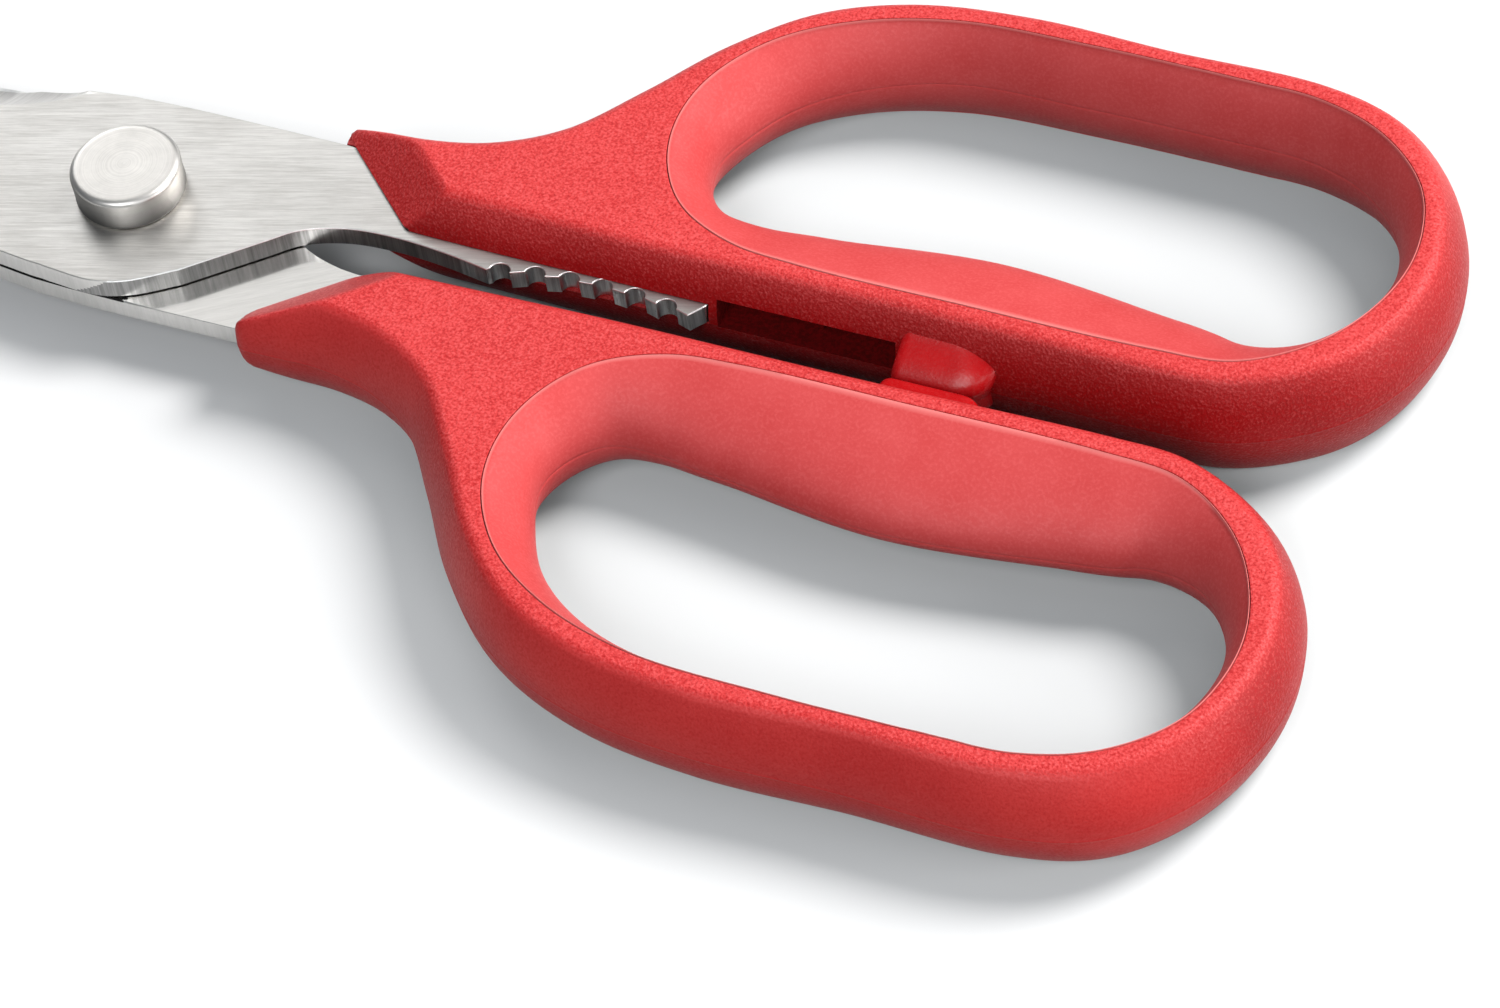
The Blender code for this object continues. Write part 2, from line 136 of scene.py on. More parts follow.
# Material slots of the shell and of the blade plate.
SHELL_RED, SHELL_RECESS = range(2)
FLAT, SPINE, BEVEL, GROUND, EDGE, SHADED_WALL, SEAM_SHADE, JAW_WALL = range(8)

# Border of the handle's flat face as (x, y, bulge of the side at mid-height).
HANDLE_BORDER = [
    (21.2, 6.2, 3.2), (36.0, 6.0, 3.5), (58.0, 5.35, 2.85), (86.0, 5.25, 2.8), (112.0, 4.85, 2.6),
    (119.5, 5.2, 2.5), (125.2, 7.5, 2.5), (130.2, 11.3, 2.5), (133.7, 16.8, 2.5), (135.3, 24.5, 2.5),
    (134.0, 32.0, 2.6), (130.2, 38.9, 2.8), (124.6, 43.7, 3.0), (116.5, 46.0, 2.9), (100.0, 46.2, 2.7),
    (84.5, 46.65, 2.7), (72.0, 45.1, 2.7), (62.6, 41.0, 2.8), (55.4, 34.0, 2.9), (49.4, 25.4, 3.0),
    (43.4, 17.8, 3.0), (36.5, 13.7, 3.0), (29.0, 12.05, 3.0), (24.0, 12.0, 3.05), (18.0, 12.1, 3.1),
    (12.0, 12.1, 3.1), (9.5, 9.2, 3.1), (12.0, 6.2, 3.1),
]

# Seam between handle and liner as (x, y, swell of the liner at mid-height).
LINER_SEAM = [
    (54.0, 22.8, 3.7), (55.1, 29.3, 4.4), (59.5, 36.0, 4.2), (67.0, 41.0, 3.5), (77.5, 44.05, 2.7),
    (92.0, 44.6, 2.7), (106.0, 44.45, 2.7), (117.5, 43.9, 2.7), (125.3, 40.8, 2.7), (131.0, 34.9, 2.8),
    (133.1, 26.8, 2.6), (131.9, 19.7, 2.7), (127.8, 12.8, 3.9), (120.6, 7.8, 7.2), (112.0, 6.9, 9.1),
    (92.0, 6.85, 11.3), (74.0, 7.0, 9.2), (66.0, 7.9, 7.8), (59.3, 11.2, 5.6), (55.4, 16.6, 4.2),
]


# ---------------------------------------------------------------- curves and rings

def catmull_rom(points, steps, closed=True):
    """Dense centripetal Catmull-Rom curve through the points."""
    control = np.array(points, float)
    if not closed:
        control = np.vstack([2.0 * control[0] - control[1], control, 2.0 * control[-1] - control[-2]])
    total = len(control)
    dense = []
    for i in range(total) if closed else range(1, total - 2):
        p = [control[(i + k) % total] for k in (-1, 0, 1, 2)]
        t = [0.0]
        for a, b in zip(p, p[1:]):
            t.append(t[-1] + np.linalg.norm((b - a)[:2]) ** 0.5)
        s = np.linspace(t[1], t[2], steps, endpoint=False)[:, None]
        a1 = ((t[1] - s) * p[0] + (s - t[0]) * p[1]) / (t[1] - t[0])
        a2 = ((t[2] - s) * p[1] + (s - t[1]) * p[2]) / (t[2] - t[1])
        a3 = ((t[3] - s) * p[2] + (s - t[2]) * p[3]) / (t[3] - t[2])
        b1 = ((t[2] - s) * a1 + (s - t[0]) * a2) / (t[2] - t[0])
        b2 = ((t[3] - s) * a2 + (s - t[1]) * a3) / (t[3] - t[1])
        dense.append(((t[2] - s) * b1 + (s - t[1]) * b2) / (t[2] - t[1]))
    if not closed:
        dense.append(control[-2][None, :])
    return np.vstack(dense)


def along(path, count, closed=True):
    """The path sampled at equal steps of plan length."""
    if closed:
        path = np.vstack([path, path[:1]])
    length = np.concatenate([[0.0], np.cumsum(np.linalg.norm(np.diff(path[:, :2], axis=0), axis=1))])
    wanted = np.linspace(0.0, length[-1], count, endpoint=not closed)
    return np.stack([np.interp(wanted, length, column) for column in path.T], axis=1)


def soften(path, sigma):
    """Gaussian smoothing of a closed path, sigma in samples."""
    reach = int(4 * sigma)
    kernel = np.exp(-0.5 * (np.arange(-reach, reach + 1) / sigma) ** 2)
    kernel /= kernel.sum()
    padded = np.vstack([path[-reach:], path, path[:reach]])
    return np.stack([np.convolve(column, kernel, "valid") for column in padded.T], axis=1)


def outward(path):
    """Unit normals of a closed counter-clockwise path, in plan."""
    tangent = np.roll(path[:, :2], -1, axis=0) - np.roll(path[:, :2], 1, axis=0)
    tangent /= np.linalg.norm(tangent, axis=1)[:, None] + 1e-12
    return np.stack([tangent[:, 1], -tangent[:, 0]], axis=1)


def at_height(plan, z):
    return np.column_stack([plan[:, :2], np.full(len(plan), float(z))])


def side_profile(z):
    """Share of a side's bulge at one level: 1 at mid-height and 0 at the faces."""
    return 1.0 - (z / HALF_HEIGHT) ** 2


def parting(z, size):
    """Height of the parting line at one level."""
    return size * math.exp(-((z / PARTING_WIDTH) ** 2))


def inner_wall(z):
    """Y of the handle's wall next to the gap between the handles, behind the jaw."""
    return INNER_WALL_Y - INNER_WALL_BULGE * side_profile(z)


def arc(centre, radius, start, end, steps):
    """Points of a circle's arc between two angles, in degrees."""
    angles = np.radians(np.linspace(start, end, steps))
    return [(centre[0] + radius * math.cos(a), centre[1] + radius * math.sin(a)) for a in angles]


# ---------------------------------------------------------------- mesh helpers

class Body:
    """A mesh in millimetres made of rings of points."""

    def __init__(self):
        self.points = []
        self.faces = []

    def ring(self, points):
        start = len(self.points)
        self.points += [tuple(p) for p in points]
        return list(range(start, start + len(points)))

    def join(self, first, second):
        n = len(first)
        for i in range(n):
            j = (i + 1) % n
            self.faces.append((first[i], first[j], second[j], second[i]))

    def loft(self, rings, closed=False):
        ids = [self.ring(r) for r in rings]
        for a, b in zip(ids, ids[1:]):
            self.join(a, b)
        if closed:
            self.join(ids[-1], ids[0])
        return ids


def put_in_scene(name, data):
    obj = bpy.data.objects.new(name, data)
    bpy.context.collection.objects.link(obj)
    return obj


def to_mesh(body, name, side, fills=(), caps=()):
    """A Blender object in metres in the world frame. Side -1 is the lower half."""
    bm = bmesh.new()
    verts = [bm.verts.new(p) for p in body.points]
    for face in body.faces:
        bm.faces.new([verts[i] for i in face])
    for loops in fills:
        edges = []
        for loop in loops:
            edges += [bm.edges.get((verts[a], verts[b])) for a, b in zip(loop, loop[1:] + loop[:1])]
        bmesh.ops.triangle_fill(bm, edges=edges, use_beauty=True)
    for loop in caps:
        bm.faces.new([verts[i] for i in loop])
    bmesh.ops.recalc_face_normals(bm, faces=bm.faces)
    place = Matrix.Translation([MM * p for p in PIVOT_PLACE])
    turn = Matrix.Diagonal((MM, side * MM, side * MM, 1.0))
    bmesh.ops.transform(bm, matrix=place @ turn, verts=bm.verts)
    mesh = bpy.data.meshes.new(name)
    bm.to_mesh(mesh)
    bm.free()
    return put_in_scene(name, mesh)


def about_pivot(point, side):
    """A world point as (x, y, z) in millimetres about the pivot, in the drawn half's own frame."""
    x, y, z = (value / MM for value in point)
    return x - PIVOT_PLACE[0], y * side, (z - PIVOT_PLACE[2]) * side


def prism(outline, low, high, name, side):
    """An upright block with the outline as its plan."""
    body = Body()
    ids = body.loft([[(x, y, low) for x, y in outline], [(x, y, high) for x, y in outline]])
    return to_mesh(body, name, side, caps=(ids[0], ids[1]))


def cut(obj, cutters):
    """Cuts the cutters out of a piece, for good, and deletes them."""
    for cutter in cutters:
        modifier = obj.modifiers.new("Cut", "BOOLEAN")
        modifier.operation = "DIFFERENCE"
        modifier.solver = "EXACT"
        modifier.object = cutter
    graph = bpy.context.evaluated_depsgraph_get()
    graph.update()
    mesh = bpy.data.meshes.new_from_object(obj.evaluated_get(graph))
    obj.modifiers.clear()
    obj.data = mesh
    for cutter in cutters:
        bpy.data.objects.remove(cutter, do_unlink=True)


def smooth(obj, angle):
    """Smooth shading with edges kept sharp where they bend by more than the angle, in degrees."""
    obj.data.shade_smooth()
    obj.data.set_sharp_from_angle(angle=math.radians(angle))
    weighted = obj.modifiers.new("Even normals", "WEIGHTED_NORMAL")
    weighted.keep_sharp = True
    weighted.weight = 60


def turned(profile, segments, name, side=1):
    """A closed solid of revolution about the pivot axis, from (radius, z) pairs."""
    body = Body()
    angles = 2.0 * np.pi * np.arange(segments) / segments
    rings = []
    ends = []
    for radius, z in profile:
        if radius == 0.0:
            ends.append((len(rings), z))
            continue
        rings.append(at_height(radius * np.column_stack([np.cos(angles), np.sin(angles)]), z))
    ids = body.loft(rings, closed=not ends)
    for index, z in ends:
        centre = body.ring([(0.0, 0.0, z)])[0]
        circle = ids[0] if index == 0 else ids[-1]
        for a, b in zip(circle, circle[1:] + circle[:1]):
            body.faces.append((centre, a, b))
    return to_mesh(body, name, side)


# ---------------------------------------------------------------- handle

BORDER = along(catmull_rom(HANDLE_BORDER, 60), 1800)
BORDER_OUT = outward(soften(BORDER, 6.0))
SEAM = along(catmull_rom(LINER_SEAM[::-1], 60), 460)
SEAM_IN = -outward(soften(SEAM, 3.0))
SIDE_SAMPLES = 2600
NOSE_SAMPLES = 170
CORNER_SAMPLES = 26
FAR_CORNER_SAMPLES = 22.0
CRISP_CORNER = 3.2
SOFT_CORNER = 11.0


def rim_inset(drop, radius):
    """How far a rounded rim draws back at a depth of drop below the face."""
    if drop >= radius:
        return 0.0
    return radius - math.sqrt(radius**2 - (radius - drop) ** 2)


def outer_plan(z, height):
    """Plan of the handle's outside at one level, dense, with the nose cut off and its corners rounded."""
    inset = rim_inset(height - abs(z), EDGE_ROUND) + SHRINK
    reach = BORDER[:, 2] * side_profile(z) - inset + parting(z, SHELL_PARTING)
    plan = BORDER[:, :2] + BORDER_OUT * reach[:, None]
    limit = NOSE_OFFSET + NOSE_SLOPE * math.sqrt(z * z + NOSE_CREST_ROUND) + 0.5 * inset
    end_x = NOSE_END_X + NOSE_END_BEND * max(0.0, abs(z) - NOSE_END_FLAT) ** 2
    depth = np.minimum(plan @ NOSE_NORMAL - limit, plan[:, 0] - end_x)
    keep = depth >= 0.0
    first = int(np.argmax(keep & ~np.roll(keep, 1)))
    plan = np.roll(plan, -first, axis=0)
    depth = np.roll(depth, -first)
    count = int(np.argmax(depth < 0.0))

    def crossing(a, b):
        t = depth[a] / (depth[a] - depth[b])
        return plan[a] + (plan[b] - plan[a]) * t

    start = crossing(0, -1)
    end = crossing(count - 1, count)
    side = along(np.vstack([start, plan[:count], end]), SIDE_SAMPLES, closed=False)[:-1]
    corner = np.array((end_x, (limit - NOSE_NORMAL[0] * end_x) / NOSE_NORMAL[1]))
    front = [end, corner, start] if corner[1] < end[1] else [end, start]
    nose = along(np.vstack(front), NOSE_SAMPLES + 1, closed=False)[:-1]
    ring = np.vstack([side, nose])
    crisp = soften(ring, CRISP_CORNER)
    past_corner = (np.arange(len(ring)) - len(side) - 6) / FAR_CORNER_SAMPLES
    return crisp + (soften(ring, SOFT_CORNER) - crisp) * np.exp(-(past_corner**4))[:, None]


def outer_picks():
    """Samples kept in each ring: every fifth on the sides, every third on the nose, more at its corners."""
    picks = []
    total = SIDE_SAMPLES - 1 + NOSE_SAMPLES
    i = 0
    while i < total:
        picks.append(i)
        near = min(i, abs(i - (SIDE_SAMPLES - 1)), total - i) < CORNER_SAMPLES
        i += 2 if near else (5 if i < SIDE_SAMPLES else 3)
    return picks


def levels(height, radius, middle, fine=6):
    """Heights of the rings from top to bottom: close together round the rims and at the parting line."""
    top = [height - radius * (1.0 - math.cos(0.5 * math.pi * k / fine)) for k in range(fine + 1)]
    side = list(np.linspace(height - radius, 0.35, middle)[1:])
    half = top + side + [0.14, 0.06]
    return half + [0.0] + [-z for z in reversed(half)]


def seat_reach(swell, z, thickness, least):
    """How far the back of the liner, or its seat in the shell, lies inside the seam."""
    lean = np.sqrt(1.0 + (2.0 * swell * z / HALF_HEIGHT**2) ** 2)
    return np.maximum(least, swell * side_profile(z) - thickness * lean)


def seam_wave():
    """Small unevenness of the moulded seam, most along the far side."""
    rng = np.random.default_rng(11)
    phase = 2.0 * np.pi * np.arange(len(SEAM)) / len(SEAM)
    wave = np.zeros(len(SEAM))
    for k in range(9, 70):
        wave += rng.normal() / k * np.sin(k * phase + rng.uniform(0.0, 6.28))
    place = np.exp(-(((SEAM[:, 0] - 108.0) / 9.0) ** 2)) * (SEAM[:, 1] > 40.0)
    return wave * (0.012 + 0.12 * place)


SEAM_WAVE = seam_wave()


def seam_ring(reach, z):
    """A ring that lies reach inside the seam. The seam's unevenness fades out below the face."""
    fade = max(0.0, 1.0 - (HALF_HEIGHT - abs(z)) / 1.2)
    return at_height(SEAM[:, :2] + SEAM_IN * np.reshape(reach + SEAM_WAVE * fade, (-1, 1)), z)


def build_shell(name, side):
    picks = outer_picks()
    body = Body()
    rings = []
    for z in levels(FACE_HEIGHT, EDGE_ROUND, 11):
        rings.append(at_height(outer_plan(z, FACE_HEIGHT)[picks], z))
    inner_top = rings[0][:, :2] - outward(rings[0]) * 0.22
    rings.insert(0, at_height(inner_top, FACE_HEIGHT))
    rings.append(at_height(inner_top, -FACE_HEIGHT))
    outer = body.loft(rings)
    hole = [seam_ring(reach, FACE_HEIGHT - drop) for reach, drop in SHELL_LIP]
    for z in SEAT_LEVELS:
        hole.append(seam_ring(seat_reach(SEAM[:, 2], z, LINER_THICKNESS + SEAM_GAP, 0.0), z))
    hole += [seam_ring(reach, drop - FACE_HEIGHT) for reach, drop in reversed(SHELL_LIP)]
    inner = body.loft(hole)
    shell = to_mesh(body, name, side, fills=((outer[0], inner[0]), (outer[-1], inner[-1])))
    pocket = [
        (8.0, -9.0), (65.3, -9.0), (65.3, 2.6), (65.85, 4.35), (65.15, 7.6), (57.05, 9.95), (44.0, 11.5),
        (30.0, 12.6), (19.0, 12.85), (8.0, 12.85),
    ]
    slot = [
        (SLOT_START_X, -9.0), (SLOT_END_X, -9.0), (SLOT_END_X, 6.4), (77.1, 6.4), (76.9, 5.3), (74.4, 5.3),
        (74.2, 6.4), (66.9, 6.4), (66.3, 5.8),
    ]
    # A shallow relief where the nose comes down on the blade's face.
    along_nose = np.array((NOSE_NORMAL[1], -NOSE_NORMAL[0]))
    nose_foot = NOSE_OFFSET + NOSE_SLOPE * BLADE_THICKNESS
    before, behind = nose_foot - 6.0, nose_foot + 0.7
    corners = ((before, -8.0), (before, 24.0), (behind, 24.0), (behind, -8.0))
    relief = [NOSE_NORMAL * reach + along_nose * run for reach, run in corners]
    cut(shell, [
        prism(pocket, -0.03, BLADE_THICKNESS + 0.05, "pocket", side),
        prism(slot, SLOT_LOW, SLOT_HIGH, "slot", side),
        prism(relief, BLADE_THICKNESS - 0.2, BLADE_THICKNESS + 0.3, "relief", side),
    ])
    slots = np.full(len(shell.data.polygons), SHELL_RED, np.int32)
    for i, face in enumerate(shell.data.polygons):
        x, y, z = about_pivot(face.center, side)
        in_slot = SLOT_START_X - 0.1 < x < SLOT_END_X + 0.1 and SLOT_LOW - 0.15 < z < SLOT_HIGH + 0.1
        # Faces deep in the slot get the painted shade of the slot material.
        if in_slot and inner_wall(z) + 0.12 < y < 6.5:
            slots[i] = SHELL_RECESS
    shell.data.polygons.foreach_set("material_index", slots)
    smooth(shell, 38.0)
    return shell


def build_liner(name, side):
    body = Body()
    rings = [seam_ring(reach, HALF_HEIGHT - drop) for reach, drop in LINER_LIP]
    for z in levels(HALF_HEIGHT - LINER_SHOULDER, 0.01, 20, 1):
        reach = SEAM[:, 2] * side_profile(z) - parting(z, LINER_PARTING)
        rings.append(seam_ring(np.maximum(reach, SEAM_GAP + LINER_SHOULDER), z))
    rings += [seam_ring(reach, drop - HALF_HEIGHT) for reach, drop in reversed(LINER_LIP)]
    for z in reversed(SEAT_LEVELS):
        rings.append(seam_ring(seat_reach(SEAM[:, 2], z, LINER_THICKNESS, SEAM_GAP), z))
    body.loft(rings, closed=True)
    liner = to_mesh(body, name, side)
    smooth(liner, 60.0)
    return liner


def build_stop(name, side, reach, nose_x, flat, height, taper):
    """A bumper that grows out of the handle's inner wall.

    Its front lies at y = reach up to flat above and below the middle, and runs back into the wall at height.
    Its rounded end lies at x = nose_x, drawn back below the top by the taper.
    """
    body = Body()
    rings = []
    depth = STOP_BACK_Y - reach
    length = STOP_STRETCH * depth
    for z in np.linspace(-height, height, 81):
        t = min(max((abs(z) - flat) / (height - flat), 0.0), 1.0)
        blend = t * t * (3.0 - 2.0 * t)
        front = reach + (inner_wall(z) + 0.35 - reach) * blend
        end = nose_x - taper * max(0.0, 3.0 - max(z, 0.0)) - 0.4 * max(0.0, abs(z) - 3.0) ** 1.5
        left = STOP_START_X + 0.35 * blend
        outline = [(left, 6.0), (left, front + STOP_CORNER)]
        outline += arc((left + STOP_CORNER, front + STOP_CORNER), STOP_CORNER, 180.0, 270.0, 10)[1:]
        outline += [(x, front) for x in np.linspace(left + 1.2, end - length - 0.3, 16)]
        for a in np.linspace(0.0, 0.5 * math.pi, 27):
            outline.append((end - length * (1.0 - math.sin(a)), front + depth * (1.0 - math.cos(a))))
        outline += [(end, front + depth + 2.0)]
        rings.append([(x, y, z) for x, y in outline])
    ids = body.loft(rings)
    stop = to_mesh(body, name, side, caps=(ids[0], ids[-1]))
    smooth(stop, 60.0)
    return stop


# ---------------------------------------------------------------- blades

def half_width(x):
    """Half the blade's width from its shoulder to its tip, drawn in a little where the bevel starts."""
    t = min(max((SHOULDER_X - x) / (SHOULDER_X - TIP_X), 0.0), 1.0)
    waist = 0.36 * math.exp(-(((x + 12.5) / 7.0) ** 2))
    return 12.65 * (1.0 - t) ** 0.9 * (1.0 + 0.28 * t) - waist + 0.9 * t


def tooth_line(x):
    """Y of the tips of the jaw's teeth."""
    return JAW_MIDDLE[1] - JAW_CURVE * (x - JAW_MIDDLE[0]) ** 2


def blade_plan():
    """Plan outline as (x, y, 1 on the cutting edge or 0), counter-clockwise from the tip."""
    tip = TIP_X + TIP_ROUND
    points = [(x, -half_width(x) - 0.02, 0) for x in np.linspace(tip, -4.0, 120)][:-1]
    neck = catmull_rom([(-4.0, -12.68), (1.6, -12.98), (5.2, -12.0), (10.0, -8.9)], 24, closed=False)
    rise = [(17.0, -2.65), (20.0, -0.1), (24.5, 1.5), (30.0, 1.9), (36.0, 1.45), (41.2, 0.62)]
    rise = catmull_rom(rise, 14, closed=False)
    between = np.linspace(neck[-1], rise[0], 16)[1:-1]
    for piece in (neck, between, rise):
        points += [(x, y, 0) for x, y in piece]
    for k in range(TOOTH_COUNT):
        x = TOOTH_FIRST_X + k * TOOTH_PITCH
        gullet = arc((x, tooth_line(x) - 0.05), GULLET_RADIUS, 176.0, 4.0, 13)
        crest = np.linspace(points[-1][:2], gullet[0], 5)[1:-1] if k else ()
        points += [(a, b, 0) for a, b in (*crest, *gullet)]
    end = [(JAW_END_X, tooth_line(JAW_END_X)), (65.2, 2.6), (65.75, 4.3), (65.0, 7.4)]
    for a, b in zip([points[-1][:2]] + end, end):
        points += [(x, y, 0) for x, y in np.linspace(a, b, 6)[1:]]
    tang = [(65.0, 7.4), (57.0, 9.7), (44.0, 11.3), (30.0, 12.4), (19.0, 12.65)]
    tang = catmull_rom(tang, 10, closed=False)
    shoulder = [(10.0, 12.72), (0.0, 12.7), (SHOULDER_X, half_width(SHOULDER_X))]
    shoulder = catmull_rom(shoulder, 14, closed=False)
    points += [(x, y, 0) for x, y in tang[1:]]
    points += [(x, y, 0) for x, y in np.linspace(tang[-1], shoulder[0], 6)[1:-1]]
    points += [(x, y, 0) for x, y in shoulder[:-1]]
    points += [(x, half_width(x), 1) for x in np.linspace(SHOULDER_X, tip, 260)]
    points += [(x, y, 0) for x, y in arc((tip, -0.1), half_width(tip) + 0.1, 90.0, 270.0, 19)[1:-1]]
    return np.array(points)


def bevel_inset(x):
    """Width of the ground bevel in plan."""
    run = min(max((BEVEL_START_X - x) / BEVEL_RUN_OUT, 0.0), 1.0)
    return min(BEVEL_WIDTH * run**0.55, 0.75 * half_width(x))


def build_blade(name, side):
    """The plate from its lower chamfer up to its face, with the bevel, the pivot hole and the bone notch."""
    plan = blade_plan()
    away = outward(plan)
    is_edge = plan[:, 2] > 0.5
    inset = np.array([bevel_inset(x) if e else 0.0 for x, e in zip(plan[:, 0], is_edge)])
    full_drop = BLADE_THICKNESS - EDGE_LAND
    past_run_out = is_edge & (plan[:, 0] < BEVEL_START_X - BEVEL_RUN_OUT)
    drop = np.where(past_run_out, full_drop, full_drop * np.minimum(inset / BEVEL_WIDTH, 1.0))
    bevelled = drop > BEVELLED_DROP
    rings = []

    def level(shrink, z):
        rings.append(np.column_stack([plan[:, :2] - away * np.reshape(shrink, (-1, 1)), z]))

    low = np.interp(plan[:, 0], (SEAM_END_X, SEAM_END_X + 3.0), (LOW_CHAMFER, JAW_CHAMFER))
    level(low + SHRINK, np.full(len(plan), BLADE_LOW))
    level(SHRINK, BLADE_LOW + low)
    land = BLADE_THICKNESS - np.maximum(drop, TOP_ROUND)
    micro = MICRO_WIDTH * np.clip((MICRO_START_X - plan[:, 0]) / 5.0, 0.0, 1.0) ** 0.7
    micro = np.minimum(np.where(is_edge, micro, 0.0), 0.2 * inset)
    for share in np.linspace(0.0, 1.0, 10)[1:]:
        level(SHRINK, BLADE_LOW + low + (land - BLADE_LOW - low) * share)
        rings[-1][:, 1] -= micro * share
    for t in np.arange(1, 9) / 8.0:
        hollow = t * (0.72 + 0.28 * t)
        corner = 0.5 * math.pi * t
        bevel = micro + (inset - micro) * t
        back = SHRINK + np.where(bevelled, 0.0, TOP_ROUND * (1.0 - math.cos(corner)))
        x = plan[:, 0] - away[:, 0] * back
        y = plan[:, 1] - away[:, 1] * back - bevel
        z = land + np.where(bevelled, drop * hollow, TOP_ROUND * math.sin(corner))
        rings.append(np.column_stack([x, y, np.minimum(z, BLADE_THICKNESS)]))
    body = Body()
    ids = body.loft(rings)
    blade = to_mesh(body, name, side, fills=((ids[0],), (ids[-1],)))
    profile = [(0.0, -1.0), (HOLE_RADIUS, -1.0), (HOLE_RADIUS, 4.0), (0.0, 4.0)]
    hole = turned(profile, 96, "hole", side)
    profile = [(0.0, -1.0), (3.4, -1.0), (3.9, 0.0), (6.0, 2.6), (6.4, 3.1), (0.0, 3.1)]
    notch = turned(profile, 120, "notch", side)
    shift = Vector((NOTCH_X * MM, side * (half_width(NOTCH_X) + 1.6) * MM, 0.0))
    notch.data.transform(Matrix.Translation(shift))
    cut(blade, [hole, notch])
    slots = []
    for face in blade.data.polygons:
        slots.append(blade_slot(face.normal.z * side, *about_pivot(face.center, side)))
    blade.data.polygons.foreach_set("material_index", slots)
    smooth(blade, 28.0)
    return blade


def blade_slot(up, x, y, z):
    """Material slot of a face of the plate, from how far it faces up and where its middle is."""
    # Painted shade: the seam between the plates is drawn near black.
    if -FACING < up < -0.3 and z < BLADE_LOW + 0.2 and x < SEAM_END_X:
        return SEAM_SHADE
    if up > FACING and z > 2.0:
        return FLAT
    if up < -FACING:
        return GROUND
    if up > 0.25 and x < BEVEL_START_X:
        return EDGE if z < EDGE_LAND else BEVEL
    # Painted shade on the upright edge past a slanted line, with a painted highlight on its top rim.
    if y < SHADED_WALL_BELOW_Y and x > SHADED_WALL_FROM_X + SHADED_WALL_SLANT * z:
        if z > BLADE_THICKNESS - RIM_HIGHLIGHT:
            return EDGE
        return SHADED_WALL if x < JAW_START_X else JAW_WALL
    return SPINE


# ---------------------------------------------------------------- pivot

def rounded(start, size, steps):
    """Quarter of an ellipse from start, (radius, z), outwards. A size with a height below 0 bends down."""
    bend = [0.5 * math.pi * k / steps for k in range(1, steps + 1)]
    return [(start[0] + size[0] * math.sin(a), start[1] + size[1] * (1.0 - math.cos(a))) for a in bend]


def build_pivot():
    base = BLADE_THICKNESS + 0.14
    r = CAP_RADIUS - SHRINK
    profile = [(0.0, CAP_TOP)] + [(x, CAP_TOP) for x in np.linspace(0.6, r - CAP_ROUND - 0.15, 12)]
    profile += rounded((r - CAP_ROUND, CAP_TOP), (CAP_ROUND, -0.62), 9)
    profile += [(r - 0.01, 5.4), (r - 0.03, 4.4), (r - 0.02, 3.5), (r, 3.2), (r, 3.0)]
    profile += [(r - 0.06, base + 0.14), (r - 0.2, base + 0.04), (r - 0.35, base)]
    profile += [(5.1, base), (5.1, 5.6), (0.0, 5.6)]
    cap = turned(profile, 192, "pivot_cap_shell")
    smooth(cap, 45.0)
    profile = [(0.0, -6.46), (0.55, -6.46), (3.6, -6.48)] + rounded((3.6, -6.48), (1.96, 1.4), 8)
    profile += [(5.56, -3.7), (5.48, -3.6), (2.6, -3.6), (2.6, 4.9), (2.2, 5.3), (0.0, 5.3)]
    bolt = turned(profile, 160, "pivot_bolt_turned")
    smooth(bolt, 40.0)
    profile = [(3.0, -3.55), (5.7, -3.55), (5.78, -3.47), (5.78, -2.68), (5.7, -2.6), (3.0, -2.6)]
    washer = turned(profile, 160, "back_washer_turned")
    smooth(washer, 40.0)
    return cap, bolt, washer


# ---------------------------------------------------------------- materials

